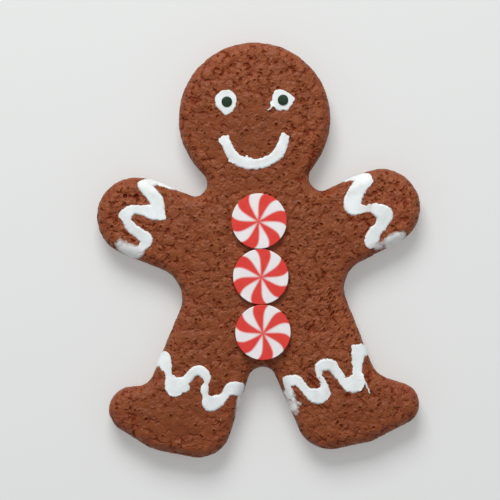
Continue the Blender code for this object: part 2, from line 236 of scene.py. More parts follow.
def belt(circles, step):
    """Points (x, y, normal x, normal y) round the belt, about one step apart."""
    angles = tangent_angles(circles)
    points = []
    for i, (x, y, radius) in enumerate(circles):
        sweep = (angles[i] - angles[i - 1]) % math.tau
        if radius < 0:
            sweep -= math.tau
        parts = max(2, round(abs(sweep * radius) / step))
        arc = []
        for j in range(parts + 1):
            angle = angles[i - 1] + sweep * j / parts
            c, s = math.cos(angle), math.sin(angle)
            arc.append((x + radius * c, y + radius * s, c, s))
        if points:
            points += spaced(points[-1], arc[0], step)
        points += arc
    points += spaced(points[-1], points[0], step)
    return np.array(points)


CIRCLES = [tuple(v * MM for v in row) for row in OUTLINE.values()]
EDGE = belt(CIRCLES, EDGE_STEP)


def edge_parts():
    """The outline's arcs as (centre, radius, first angle, sweep) and its straights as (ends)."""
    angles = tangent_angles(CIRCLES)
    arcs = []
    straights = []
    for i, (x, y, radius) in enumerate(CIRCLES):
        sweep = (angles[i] - angles[i - 1]) % math.tau
        if radius < 0:
            sweep -= math.tau
        arcs.append((np.array([x, y]), radius, angles[i - 1], sweep))
        normal = np.array([math.cos(angles[i]), math.sin(angles[i])])
        ahead = CIRCLES[(i + 1) % len(CIRCLES)]
        straights.append((np.array([x, y]) + radius * normal,
                          np.array(ahead[:2]) + ahead[2] * normal, normal))
    return arcs, straights


ARCS, STRAIGHTS = edge_parts()


def from_edge(points):
    """For each point, its depth inside the outline, and the outline's normal beside it."""
    depths = np.full(len(points), 1.0)
    normals = np.zeros((len(points), 2))
    for centre, radius, first, sweep in ARCS:
        side = math.copysign(1.0, radius)
        away = side * (points - centre)
        reach = np.maximum(np.linalg.norm(away, axis=1), 1e-9)
        turned = side * (np.arctan2(away[:, 1], away[:, 0]) - first) % math.tau
        depth = radius - side * reach
        nearer = (turned <= abs(sweep)) & (np.abs(depth) < np.abs(depths))
        depths = np.where(nearer, depth, depths)
        normals = np.where(nearer[:, None], away / reach[:, None], normals)
    for start, end, normal in STRAIGHTS:
        along = (points - start) @ (end - start) / ((end - start) @ (end - start))
        depth = (start - points) @ normal
        nearer = (along >= 0) & (along <= 1) & (np.abs(depth) < np.abs(depths))
        depths = np.where(nearer, depth, depths)
        normals = np.where(nearer[:, None], normal, normals)
    return depths, normals


def crowned(depth):
    """Height of the face at a depth inside the outline, before the brush."""
    t = np.clip((depth - RIM_RADIUS) / CROWN_REACH, 0.0, 1.0)
    return SHOULDER + CROWN * t * t * (3.0 - 2.0 * t)


def lattice(low, high, step):
    """Points of a triangular lattice over a box."""
    rows = int((high[1] - low[1]) / (step * math.sqrt(3) / 2)) + 2
    columns = int((high[0] - low[0]) / step) + 2
    x = low[0] + step * (np.arange(columns)[None, :] + 0.5 * (np.arange(rows)[:, None] % 2))
    y = low[1] + step * math.sqrt(3) / 2 * np.arange(rows)[:, None]
    return np.stack([x, np.broadcast_to(y, x.shape)], axis=2).reshape(-1, 2)


def clay_rings():
    """Inset and height of the rings from the face, round the rim, down the side, to the foot."""
    rings = []
    for turn in np.linspace(0.0, math.pi / 2, RIM_RINGS):
        rings.append((RIM_RADIUS * (1 - math.sin(turn)), SHOULDER - RIM_RADIUS * (1 - math.cos(turn))))
    for height in np.linspace(SHOULDER - RIM_RADIUS, FOOT_RADIUS, SIDE_RINGS)[1:]:
        rings.append((0.0, height))
    for turn in np.linspace(0.0, math.pi / 2, FOOT_RINGS)[1:]:
        rings.append((FOOT_RADIUS * (1 - math.cos(turn)), FOOT_RADIUS * (1 - math.sin(turn))))
    return rings


def filled_in(ring, step, margin):
    """Lattice points inside a closed ring, and triangles over the ring's points and them."""
    grid = lattice(ring.min(axis=0), ring.max(axis=0), step)
    inner = grid[from_edge(grid)[0] > margin]
    flat = [Vector(p) for p in np.concatenate([ring, inner])]
    loop = [(i, (i + 1) % len(ring)) for i in range(len(ring))]
    return inner, geometry.delaunay_2d_cdt(flat, loop, [], 1, 1e-9)[2]


def washed(points):
    """How much of the thin wash lies at each point, in mm."""
    most = np.zeros(len(points))
    for stroke in WASHES.values():
        for start, end in zip(stroke, stroke[1:]):
            here = np.array(start)
            change = np.array(end) - here
            along = (points - here[:2]) @ change[:2] / (change[:2] @ change[:2])
            along = np.clip(along, 0.0, 1.0)[:, None]
            line = here + along * change
            away = np.linalg.norm(points - line[:, :2], axis=1) / line[:, 2]
            most = np.maximum(most, line[:, 3] * np.clip(1.6 - away, 0.0, 1.0))
    return most


def clay_slab():
    """The unworked slab as a closed mesh, with what the brush and the wash do at each point."""
    rings = clay_rings()
    count = len(EDGE)
    points = []
    for inset, height in rings:
        plan = EDGE[:, :2] - EDGE[:, 2:] * inset
        points.append(np.column_stack([plan, np.full(count, height)]))
    faces = []
    for upper in range(0, (len(rings) - 1) * count, count):
        for i in range(count):
            j = (i + 1) % count
            faces.append((upper + i, upper + count + i, upper + count + j, upper + j))

    inner, triangles = filled_in(points[0][:, :2], FACE_STEP, RIM_RADIUS + 0.6 * FACE_STEP)
    first = len(rings) * count
    faces += [[i if i < count else first + i - count for i in t] for t in triangles]
    depths = from_edge(inner)[0]
    last = (len(rings) - 1) * count
    bare, triangles = filled_in(points[-1][:, :2], UNDERSIDE_STEP, FOOT_RADIUS + UNDERSIDE_STEP / 2)
    first += len(inner)
    faces += [[last + i if i < count else first + i - count for i in reversed(t)] for t in triangles]
    points.append(np.column_stack([inner, crowned(depths)]))
    points.append(np.column_stack([bare, np.zeros(len(bare))]))
    points = np.concatenate(points)

    mesh = bpy.data.meshes.new("clay slab")
    mesh.from_pydata(points.tolist(), [], faces)
    depths = np.concatenate([np.repeat([r[0] for r in rings], count), depths, np.zeros(len(bare))])
    rough = ROUGH_ALL_OVER + ROUGH_AT_RIM * np.clip(1 - depths / RIM_REACH, 0, 1)
    for x, y, reach, more in BRUSHED_SPOTS.values():
        away = np.hypot(points[:, 0] / MM - x, points[:, 1] / MM - y) / reach
        rough += more * np.exp(-away ** 2)
    heights = points[:, 2] / MM
    # the wash runs over the rim and stops half way down the side
    wash = washed(points[:, :2] / MM) * np.clip(heights - WASH_END, 0.0, 1.0)
    marks = {"rough": rough * (1.0 - wash), "washed": wash}
    for name, (x, y, reach) in (("combed", COMBED), ("dragged", DRAGGED)):
        away = np.hypot(points[:, 0] / MM - x, points[:, 1] / MM - y) / reach
        marks[name] = np.exp(-away ** 4)
    marks["free"] = np.clip((heights - CUT_FOOT) / CUT_FADE, 0.0, 1.0)
    for name, values in marks.items():
        mesh.attributes.new(name, "FLOAT", "POINT").data.foreach_set("value", values)
    return mesh


def hollows(tree, place, where, layer, seed):
    """One layer of scattered hollows: 1 at their deepest, and 1 at the top of their lips."""
    turned = add_node(tree, "ShaderNodeVectorRotate",
                      {"Vector": place, "Angle": math.radians(-layer["turn"])},
                      rotation_type="Z_AXIS")
    along, across = (1.0 / (size * MM) for size in layer["cell"])
    cells = add_node(tree, "ShaderNodeVectorMath",
                     {0: turned.outputs[0], 1: (along, across, across), 2: (seed, 2.0 * seed, 0.5)},
                     operation="MULTIPLY_ADD")
    spots = add_node(tree, "ShaderNodeTexVoronoi", {"Vector": cells.outputs[0], "Scale": 1.0})
    draw = add_node(tree, "ShaderNodeSeparateXYZ", {0: spots.outputs["Color"]})
    width = add_node(tree, "ShaderNodeMath", {0: draw.outputs[1], 1: 0.8 * layer["radius"],
                     2: 0.6 * layer["radius"]}, operation="MULTIPLY_ADD")
    bowl = add_node(tree, "ShaderNodeMapRange",
                    {"Value": spots.outputs["Distance"], "From Min": 0.0,
                     "From Max": width.outputs[0], "To Min": 1.0, "To Max": 0.0},
                    interpolation_type="SMOOTHSTEP")
    many = add_node(tree, "ShaderNodeMath", {0: where, 1: 2.0 * layer["share"]}, operation="MULTIPLY")
    shown = add_node(tree, "ShaderNodeMath", {0: draw.outputs[0], 1: many.outputs[0]},
                     operation="LESS_THAN")
    lip_end = add_node(tree, "ShaderNodeMath", {0: width.outputs[0], 1: LIP_REACH},
                       operation="MULTIPLY")
    swelling = add_node(tree, "ShaderNodeMapRange",
                        {"Value": spots.outputs["Distance"], "From Min": width.outputs[0],
                         "From Max": lip_end.outputs[0], "To Min": 1.0, "To Max": 0.0},
                        interpolation_type="SMOOTHSTEP")
    ring = add_node(tree, "ShaderNodeMath", {0: swelling.outputs[0], 1: bowl.outputs[0]},
                    operation="SUBTRACT", use_clamp=True)
    return [add_node(tree, "ShaderNodeMath", {0: part.outputs[0], 1: shown.outputs[0]},
                     operation="MULTIPLY").outputs[0] for part in (bowl, ring)]


def liveliness(tree, place, rough):
    """How lively the lumps are, from 0 to 1: it changes from patch to patch."""
    patches = add_node(tree, "ShaderNodeTexNoise", {"Vector": place, "Scale": 1.0 / (PATCH_SIZE * MM)})
    lively = add_node(tree, "ShaderNodeMath", {0: patches.outputs[0], 1: 1.3, 2: -0.75},
                      operation="MULTIPLY_ADD")
    return add_node(tree, "ShaderNodeMath", {0: rough, 1: 1.5, 2: lively.outputs[0]},
                    operation="MULTIPLY_ADD", use_clamp=True).outputs[0]


def cracks(tree, place, warped):
    """The depth of the broken cracks between the large lumps, in mm."""
    size = LUMPS[0][0]
    borders = add_node(tree, "ShaderNodeTexVoronoi", {"Vector": warped, "Scale": 1.0 / (size * MM)},
                       feature="DISTANCE_TO_EDGE")
    gap = add_node(tree, "ShaderNodeMapRange",
                   {"Value": borders.outputs["Distance"], "From Min": 0.0,
                    "From Max": CRACK_WIDTH / size, "To Min": CRACK_DEPTH, "To Max": 0.0},
                   interpolation_type="SMOOTHSTEP")
    breaks = add_node(tree, "ShaderNodeTexNoise",
                      {"Vector": place, "Scale": 1.0 / (BREAK_SIZE * MM)})
    open_share = add_node(tree, "ShaderNodeMapRange",
                          {"Value": breaks.outputs[0], "From Min": 0.52, "From Max": 0.63})
    return add_node(tree, "ShaderNodeMath", {0: gap.outputs[0], 1: open_share.outputs[0]},
                    operation="MULTIPLY").outputs[0]


def brush_marks(tree, place, marks):
    """The height of the brush's lumps and the depth of its hollows, both in mm."""
    wave = add_node(tree, "ShaderNodeTexNoise",
                    {"Vector": place, "Scale": 1.0 / (BEND_SIZE * MM), "Detail": 1.0})
    bent = add_node(tree, "ShaderNodeVectorMath", {0: wave.outputs["Color"], 1: (0.5, 0.5, 0.5)},
                    operation="SUBTRACT")
    warped = add_node(tree, "ShaderNodeVectorMath",
                      {0: bent.outputs[0], 1: (2 * STIPPLE_WARP * MM,) * 3, 2: place},
                      operation="MULTIPLY_ADD").outputs[0]
    depth = 0.0
    lips = 0.0
    for seed, layer in enumerate(HOLLOWS):
        # single bristles wander, and a brush drawn through the clay leaves straight furrows
        spread = warped if layer["where"] == "rough" else place
        bowl, ring = hollows(tree, spread, marks[layer["where"]], layer, 3.7 * seed)
        pressed = add_node(tree, "ShaderNodeMath", {0: bowl, 1: layer["depth"]}, operation="MULTIPLY")
        depth = add_node(tree, "ShaderNodeMath", {0: depth, 1: pressed.outputs[0]},
                         operation="MAXIMUM").outputs[0]
        pushed = add_node(tree, "ShaderNodeMath", {0: ring, 1: LIP_SHARE * layer["depth"]},
                          operation="MULTIPLY")
        lips = add_node(tree, "ShaderNodeMath", {0: lips, 1: pushed.outputs[0]},
                        operation="MAXIMUM").outputs[0]
    level = add_node(tree, "ShaderNodeVectorMath", {0: place, 1: (1.0, 1.0, 0.0)},
                     operation="MULTIPLY")
    for x, y, radius, deep in PRICKS:
        away = add_node(tree, "ShaderNodeVectorMath", {0: level.outputs[0], 1: (x * MM, y * MM, 0.0)},
                        operation="DISTANCE")
        prick = add_node(tree, "ShaderNodeMapRange",
                         {"Value": away.outputs["Value"], "From Min": 0.4 * radius * MM,
                          "From Max": radius * MM, "To Min": deep, "To Max": 0.0},
                         interpolation_type="SMOOTHSTEP")
        depth = add_node(tree, "ShaderNodeMath", {0: depth, 1: prick.outputs[0]},
                         operation="MAXIMUM").outputs[0]
    livelier = liveliness(tree, place, marks["rough"])
    cracked = add_node(tree, "ShaderNodeMath", {0: cracks(tree, place, warped), 1: livelier},
                       operation="MULTIPLY")
    depth = add_node(tree, "ShaderNodeMath", {0: depth, 1: cracked.outputs[0]},
                     operation="MAXIMUM").outputs[0]
    grain = add_node(tree, "ShaderNodeTexNoise",
                     {"Vector": place, "Scale": 1.0 / (GRAIN_SIZE * MM), "Detail": 2.0})
    lift = add_node(tree, "ShaderNodeMath",
                    {0: grain.outputs[0], 1: GRAIN_HEIGHT, 2: -0.5 * GRAIN_HEIGHT},
                    operation="MULTIPLY_ADD").outputs[0]
    for size, height in LUMPS:
        cells = add_node(tree, "ShaderNodeTexVoronoi", {"Vector": warped, "Scale": 1.0 / (size * MM)})
        steep = add_node(tree, "ShaderNodeMath", {0: cells.outputs["Distance"], 1: 2.0},
                         operation="POWER")
        lift = add_node(tree, "ShaderNodeMath", {0: steep.outputs[0], 1: -height, 2: lift},
                        operation="MULTIPLY_ADD").outputs[0]
    lumps = add_node(tree, "ShaderNodeMath", {0: lift, 1: livelier, 2: lips},
                     operation="MULTIPLY_ADD")
    return lumps.outputs[0], depth


def stipple_tree(material, dust):
    """The brush's work, pressed in along the surface's normal, and the dust flecks on the face."""
    tree, given = new_work("stipple", {
        "Swell height": "Float", "Mark depth": "Float", "Fleck density": "Float",
        "Fleck radius": "Float", "Seed": "Int"})
    place = add_node(tree, "GeometryNodeInputPosition").outputs[0]
    marks = {}
    for name in ("rough", "combed", "dragged", "free"):
        marks[name] = add_node(tree, "GeometryNodeInputNamedAttribute", {"Name": name},
                               data_type="FLOAT").outputs[0]
    kept = add_node(tree, "GeometryNodeStoreNamedAttribute",
                    {"Geometry": given["Geometry"], "Name": "unworked", "Value": place},
                    data_type="FLOAT_VECTOR")
    swell = add_node(tree, "ShaderNodeTexNoise",
                     {"Vector": place, "Scale": 1.0 / (SWELL_SIZE * MM), "Detail": 1.0})
    centred = add_node(tree, "ShaderNodeMath", {0: swell.outputs[0], 1: 0.5}, operation="SUBTRACT")
    swelled = add_node(tree, "ShaderNodeMath", {0: centred.outputs[0], 1: given["Swell height"]},
                       operation="MULTIPLY")
    lumps, depth = brush_marks(tree, place, marks)
    relief = add_node(tree, "ShaderNodeMath", {0: lumps, 1: depth}, operation="SUBTRACT")
    standing = add_node(tree, "ShaderNodeMath", {0: relief.outputs[0], 1: STAND}, operation="ADD")
    change = add_node(tree, "ShaderNodeMath",
                      {0: standing.outputs[0], 1: given["Mark depth"], 2: swelled.outputs[0]},
                      operation="MULTIPLY_ADD")
    eased = add_node(tree, "ShaderNodeMath", {0: change.outputs[0], 1: marks["free"]},
                     operation="MULTIPLY")
    out = add_node(tree, "ShaderNodeVectorMath",
                   {0: add_node(tree, "GeometryNodeInputNormal").outputs[0], "Scale": eased.outputs[0]},
                   operation="SCALE")
    moved = add_node(tree, "GeometryNodeSetPosition",
                     {"Geometry": kept.outputs[0], "Offset": out.outputs[0]})
    smooth = add_node(tree, "GeometryNodeSetShadeSmooth", {"Geometry": moved.outputs[0]})
    facing = add_node(tree, "ShaderNodeSeparateXYZ",
                      {0: add_node(tree, "GeometryNodeInputNormal").outputs[0]})
    upward = add_node(tree, "ShaderNodeMath", {0: facing.outputs[2], 1: 0.7}, operation="GREATER_THAN")
    spots = add_node(tree, "GeometryNodeDistributePointsOnFaces",
                     {"Mesh": smooth.outputs[0], "Selection": upward.outputs[0],
                      "Density": given["Fleck density"], "Seed": given["Seed"]})
    grain = add_node(tree, "GeometryNodeMeshIcoSphere", {"Radius": given["Fleck radius"],
                                                         "Subdivisions": 1})
    marked = add_node(tree, "GeometryNodeStoreNamedAttribute",
                      {"Geometry": grain.outputs[0], "Name": "fleck", "Value": 1.0},
                      data_type="FLOAT", domain="FACE")
    size = add_node(tree, "FunctionNodeRandomValue", {2: 0.6, 3: 1.3, "Seed": given["Seed"]},
                    data_type="FLOAT")
    flecks = add_node(tree, "GeometryNodeInstanceOnPoints",
                      {"Points": spots.outputs[0], "Instance": marked.outputs[0],
                       "Scale": size.outputs[1]})
    both = add_node(tree, "GeometryNodeJoinGeometry")
    for part in (smooth, flecks):
        tree.links.new(part.outputs[0], both.inputs[0])
    real = add_node(tree, "GeometryNodeRealizeInstances", {0: both.outputs[0]})
    dressed = add_node(tree, "GeometryNodeSetMaterial",
                       {"Geometry": real.outputs[0], "Material": material})
    is_fleck = add_node(tree, "GeometryNodeInputNamedAttribute", {"Name": "fleck"}, data_type="FLOAT")
    dusted = add_node(tree, "GeometryNodeSetMaterial",
                      {"Geometry": dressed.outputs[0], "Selection": is_fleck.outputs[0],
                       "Material": dust})
    add_node(tree, "NodeGroupOutput", {0: dusted.outputs[0]})
    return tree


def cloudy_tone(tree, place, size, dark, light, stops=(0.35, 0.65), **fineness):
    """Two close tones of one clay, in soft clouds about this many mm across, as a colour."""
    clouds = add_node(tree, "ShaderNodeTexNoise",
                      {"Vector": place, "Scale": 1.0 / (size * MM), "Detail": 3.0, **fineness})
    tones = add_node(tree, "ShaderNodeValToRGB", {0: clouds.outputs[0]})
    for stop, at, code in zip(tones.color_ramp.elements, stops, (dark, light)):
        stop.position = at
        stop.color = hex_colour(code)
    return tones.outputs[0]


def brown_clay():
    """Polymer clay, stippled and baked."""
    # it gives the eye a matt, faintly mottled brown with painted shade, a deep red down in its hollows
    # and between its lumps, and a soft white veil where the white was wiped over it
    material, tree, shader = new_finish("polymer clay, brush stippled and baked",
                                        Roughness=0.45, IOR=1.5, Specular_IOR_Level=0.25)
    place = add_node(tree, "ShaderNodeAttribute", attribute_name="unworked").outputs["Vector"]
    marks = {}
    for name in ("rough", "combed", "dragged", "washed"):
        marks[name] = add_node(tree, "ShaderNodeAttribute", attribute_name=name).outputs["Fac"]
    lumps, depth = brush_marks(tree, place, marks)
    tones = cloudy_tone(tree, place, MOTTLE_SIZE, "#78391A", "#954F29", (0.3, 0.72),
                        Detail=5.0, Roughness=0.8)
    # the clay is a little paler where it is rougher, and down in the hollows and between the lumps its
    # colour is mixed towards a deep red as painted shade
    worked_pale = add_node(tree, "ShaderNodeVectorMath",
                           {0: marks["rough"], 1: PALER, 2: [1.0 - ORDINARY * share for share in PALER]},
                           operation="MULTIPLY_ADD")
    paler = add_node(tree, "ShaderNodeVectorMath", {0: tones, 1: worked_pale.outputs[0]},
                     operation="MULTIPLY")
    relief = add_node(tree, "ShaderNodeMath", {0: lumps, 1: depth}, operation="SUBTRACT")
    # painted shade: the lower the relief, the more the colour goes towards the dark red #7C2708
    hollow_painted_shade = add_node(tree, "ShaderNodeMapRange",
                     {"Value": relief.outputs[0], "From Min": -0.04, "From Max": -0.26,
                      "To Min": 0.0, "To Max": 0.8})
    colour = add_node(tree, "ShaderNodeMix",
                      {0: hollow_painted_shade.outputs[0], 6: paler.outputs[0], 7: hex_colour("#7C2708")},
                      data_type="RGBA")
    # the wash was wiped on nearly dry, so it misses the hollows and breaks up at its ends
    streaks = add_node(tree, "ShaderNodeTexNoise",
                       {"Vector": place, "Scale": 1.0 / (STREAK_SIZE * MM), "Detail": 3.0})
    patchy = add_node(tree, "ShaderNodeMath", {0: streaks.outputs[0], 1: 0.7, 2: marks["washed"]},
                      operation="MULTIPLY_ADD")
    missed = add_node(tree, "ShaderNodeMath", {0: depth, 1: -0.7, 2: patchy.outputs[0]},
                      operation="MULTIPLY_ADD")
    coat = add_node(tree, "ShaderNodeMapRange",
                    {"Value": missed.outputs[0], "From Min": 0.6, "From Max": 1.15,
                     "To Min": 0.0, "To Max": 0.95})
    veiled = add_node(tree, "ShaderNodeMix",
                      {0: coat.outputs[0], 6: colour.outputs[2], 7: hex_colour("#EBEDE9")},
                      data_type="RGBA")
    # the wash fills the marks it covers
    open_marks = add_node(tree, "ShaderNodeMapRange",
                          {"Value": coat.outputs[0], "To Min": 1.0, "To Max": 0.1})
    bump = add_node(tree, "ShaderNodeBump",
                    {"Height": relief.outputs[0], "Strength": open_marks.outputs[0],
                     "Distance": 1.2 * MM})
    tree.links.new(veiled.outputs[2], shader.inputs["Base Color"])
    tree.links.new(bump.outputs[0], shader.inputs["Normal"])
    return material


def pale_dust():
    """Flecks of pale dust, baked in."""
    # it gives the eye a few bright points on the brown
    return new_finish("pale dust, baked into the clay", Roughness=0.8,
                      Base_Color=hex_colour("#D8B89A"))[0]


figure = worked("clay_figure", clay_slab(), stipple_tree(brown_clay(), pale_dust()), {
    "Swell height": SWELL_HEIGHT * MM, "Mark depth": MM, "Fleck density": FLECK_DENSITY,
    "Fleck radius": FLECK_RADIUS, "Seed": FLECK_SEED})
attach(figure, "root")
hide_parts("cookie")


# Three slices of a round cane of red and white clay, cut about 1.2 mm thick and pressed on in a
# row down the front. The stripes run through the whole slice, so they show at its edge too, and
# they bend as they reach the skin of the cane. The middle slice was laid the other way up.
SLICE_RADIUS = 4.97
SLICE_TOP = 7.25
SLICE_FOOT = 5.8
SLICE_EDGE = 0.1
STRIPE_PAIRS = 6
STRIPE_COLUMNS = 8
# The stripes turn this many degrees where they meet the skin, and bend more with this power of
# the radius. The rim wanders from a true circle by about this many mm, in waves of this size.
STRIPE_BEND = 11.0
BEND_POWER = 5.0
SLICE_WANDER = 0.06
WANDER_SIZE = 2.5
# Red begins and is full this far from a stripe's border, and spreads this far at the hub, in mm.
RED_FROM = -0.3
RED_FULL = 0.16
RED_SPREAD = 0.09
CLOUD_SIZE = 1.5
SLICES = {
    "top": {"centre": (0.1, 5.2), "hub": (-0.1, -0.1), "phase": 0.8, "hand": -1.0},
    "middle": {"centre": (0.4, -4.8), "hub": (0.1, -0.1), "phase": 1.0, "hand": 1.0},
    "bottom": {"centre": (0.8, -14.8), "hub": (0.0, -0.2), "phase": 29.5, "hand": -1.0},
}


def profile_mesh(name, corners):
    """A half section, given as (radius, height) pairs in mm, as a mesh of edges."""
    mesh = bpy.data.meshes.new(name)
    points = [(radius * MM, 0.0, height * MM) for radius, height in corners]
    mesh.from_pydata(points, [(i, i + 1) for i in range(len(points) - 1)], [])
    return mesh


def slice_section():
    """From the hub over the flat top, round the broken edge and down to the hub below."""
    rounds = [0.25, 0.6, 1.1, 1.7, 2.4, 3.1, 3.7, 4.2, 4.55, 4.75]
    corners = [(0.0, SLICE_TOP)] + [(r, SLICE_TOP) for r in rounds]
    inside = SLICE_RADIUS - SLICE_EDGE
    for turn in np.linspace(0.0, math.pi / 2, 4):
        corners.append((inside + SLICE_EDGE * math.sin(turn),
                        SLICE_TOP - SLICE_EDGE * (1 - math.cos(turn))))
    corners += [(SLICE_RADIUS, (SLICE_TOP + SLICE_FOOT) / 2), (SLICE_RADIUS, SLICE_FOOT)]
    corners += [(r, SLICE_FOOT) for r in (3.5, 1.7)] + [(0.0, SLICE_FOOT)]
    return corners


def hand_out(tree, shape, material):
    """Close a tree: the shape is shaded smooth, realised, given its material and handed out."""
    smooth = add_node(tree, "GeometryNodeSetShadeSmooth", {"Geometry": shape})
    real = add_node(tree, "GeometryNodeRealizeInstances", {0: smooth.outputs[0]})
    dressed = add_node(tree, "GeometryNodeSetMaterial",
                       {"Geometry": real.outputs[0], "Material": material})
    add_node(tree, "NodeGroupOutput", {0: dressed.outputs[0]})


def turned_tree(material):
    """Turn a half section round Z, with its stripes bending outwards and its hub off the middle."""
    tree, given = new_work("turned section", {
        "Columns": "Int", "Stripes": "Float", "Centre": "Vector", "Hub": "Vector",
        "Radius": "Float", "Phase": "Float", "Bend": "Float", "Unevenness": "Float"})
    section = given["Geometry"]
    rows = add_node(tree, "GeometryNodeAttributeDomainSize", {0: section}, component="MESH")
    columns = add_node(tree, "ShaderNodeMath", {0: given["Columns"], 1: 1.0}, operation="ADD")
    grid = add_node(tree, "GeometryNodeMeshGrid",
                    {"Vertices X": rows.outputs["Point Count"], "Vertices Y": columns.outputs[0]})
    index = add_node(tree, "GeometryNodeInputIndex").outputs[0]
    ratio = add_node(tree, "ShaderNodeMath", {0: index, 1: columns.outputs[0]}, operation="DIVIDE")
    row = add_node(tree, "ShaderNodeMath", {0: ratio.outputs[0]}, operation="FLOOR")
    column = add_node(tree, "ShaderNodeMath", {0: index, 1: columns.outputs[0]}, operation="MODULO")
    place = add_node(tree, "GeometryNodeInputPosition").outputs[0]
    corner = add_node(tree, "GeometryNodeSampleIndex",
                      {"Geometry": section, "Value": place, "Index": row.outputs[0]},
                      data_type="FLOAT_VECTOR")
    at = add_node(tree, "ShaderNodeSeparateXYZ", {0: corner.outputs[0]})
    share = add_node(tree, "ShaderNodeMath", {0: at.outputs[0], 1: given["Radius"]}, operation="DIVIDE")
    step = add_node(tree, "ShaderNodeMath", {0: math.tau, 1: given["Columns"]}, operation="DIVIDE")
    turn = add_node(tree, "ShaderNodeMath", {0: column.outputs[0], 1: step.outputs[0]},
                    operation="MULTIPLY")
    around = add_node(tree, "ShaderNodeMath", {0: turn.outputs[0], 1: given["Stripes"]},
                      operation="MULTIPLY")
    stripe = add_node(tree, "ShaderNodeMath", {0: around.outputs[0]}, operation="SINE")
    # the bend grows with a high power of the radius, so the stripes are straight near the hub
    steep = add_node(tree, "ShaderNodeMath", {0: share.outputs[0], 1: BEND_POWER},
                     operation="POWER")
    bend = add_node(tree, "ShaderNodeMath", {0: steep.outputs[0], 1: given["Bend"], 2: given["Phase"]},
                    operation="MULTIPLY_ADD")
    angle = add_node(tree, "ShaderNodeMath", {0: turn.outputs[0], 1: bend.outputs[0]}, operation="ADD")
    flat = add_node(tree, "ShaderNodeVectorRotate", {"Vector": corner.outputs[0],
                    "Angle": angle.outputs[0]}, rotation_type="Z_AXIS")
    # the hub lies a little off the middle
    towards = add_node(tree, "ShaderNodeMath", {0: 1.0, 1: share.outputs[0]}, operation="SUBTRACT")
    offset = add_node(tree, "ShaderNodeVectorMath", {0: given["Hub"], "Scale": towards.outputs[0]},
                      operation="SCALE")
    placed = add_node(tree, "ShaderNodeVectorMath", {0: flat.outputs[0], 1: offset.outputs[0]},
                      operation="ADD")
    seated = add_node(tree, "ShaderNodeVectorMath", {0: placed.outputs[0], 1: given["Centre"]},
                      operation="ADD")
    noise = add_node(tree, "ShaderNodeTexNoise",
                     {"Vector": seated.outputs[0], "Scale": 1.0 / (WANDER_SIZE * MM), "Detail": 1.0})
    centred = add_node(tree, "ShaderNodeVectorMath",
                       {0: noise.outputs["Color"], 1: (0.5, 0.5, 0.5)}, operation="SUBTRACT")
    eased = add_node(tree, "ShaderNodeMath", {0: share.outputs[0], 1: given["Unevenness"]},
                     operation="MULTIPLY")
    uneven = add_node(tree, "ShaderNodeVectorMath", {0: centred.outputs[0], "Scale": eased.outputs[0]},
                      operation="SCALE")
    final = add_node(tree, "ShaderNodeVectorMath", {0: seated.outputs[0], 1: uneven.outputs[0]},
                     operation="ADD")
    striped = add_node(tree, "GeometryNodeStoreNamedAttribute",
                       {"Geometry": grid.outputs[0], "Name": "stripe", "Value": stripe.outputs[0]},
                       data_type="FLOAT")
    ranged = add_node(tree, "GeometryNodeStoreNamedAttribute",
                      {"Geometry": striped.outputs[0], "Name": "from hub", "Value": at.outputs[0]},
                      data_type="FLOAT")
    shaped = add_node(tree, "GeometryNodeSetPosition",
                      {"Geometry": ranged.outputs[0], "Position": final.outputs[0]})
    closed = add_node(tree, "GeometryNodeMergeByDistance",
                      {"Geometry": shaped.outputs[0], "Distance": 0.002 * MM})
    hand_out(tree, closed.outputs[0], material)
    return tree


def fine_grain(tree, place, size=0.4, strength=0.25, depth=0.05, detail=3.0):
    """The faint drag of the tool, as a normal: its size and depth in mm."""
    # the real drag is finer than a tenth of a mm, so it is drawn as coarse as it needs to show
    grain = add_node(tree, "ShaderNodeTexNoise",
                     {"Vector": place, "Scale": 1.0 / (size * MM), "Detail": detail})
    return add_node(tree, "ShaderNodeBump", {"Height": grain.outputs[0], "Strength": strength,
                                             "Distance": depth * MM}).outputs[0]


def cane_clay():
    """Red and white polymer clay, sliced across its stripes with a blade and baked."""
    # it gives the eye flat matt stripes whose borders are a little soft, and run into one red star
    material, tree, shader = new_finish("polymer clay cane, red and white, blade cut",
                                        Roughness=0.55, IOR=1.5, Specular_IOR_Level=0.25)
    place = add_node(tree, "ShaderNodeTexCoord").outputs["Object"]
    stripe = add_node(tree, "ShaderNodeAttribute", attribute_name="stripe").outputs["Fac"]
    from_hub = add_node(tree, "ShaderNodeAttribute", attribute_name="from hub").outputs["Fac"]
    # how far the point lies inside a red stripe, about, and a little more beside the hub
    inside = add_node(tree, "ShaderNodeMath", {0: from_hub, 1: 1.0 / STRIPE_PAIRS},
                      operation="MULTIPLY")
    spread = add_node(tree, "ShaderNodeMapRange",
                      {"Value": from_hub, "From Min": 0.0, "From Max": 1.0 * MM,
                       "To Min": RED_SPREAD * MM, "To Max": 0.0})
    reach = add_node(tree, "ShaderNodeMath",
                     {0: stripe, 1: inside.outputs[0], 2: spread.outputs[0]},
                     operation="MULTIPLY_ADD")
    red_share = add_node(tree, "ShaderNodeMapRange",
                         {"Value": reach.outputs[0], "From Min": RED_FROM * MM,
                          "From Max": RED_FULL * MM},
                         interpolation_type="SMOOTHSTEP")
    white = cloudy_tone(tree, place, CLOUD_SIZE, "#E9E2E1", "#EEE9E7")
    red = cloudy_tone(tree, place, CLOUD_SIZE, "#DB3A32", "#DF4238")
    colour = add_node(tree, "ShaderNodeMix", {0: red_share.outputs[0], 6: white, 7: red},
                      data_type="RGBA")
    tree.links.new(colour.outputs[2], shader.inputs["Base Color"])
    tree.links.new(fine_grain(tree, place), shader.inputs["Normal"])
    return material


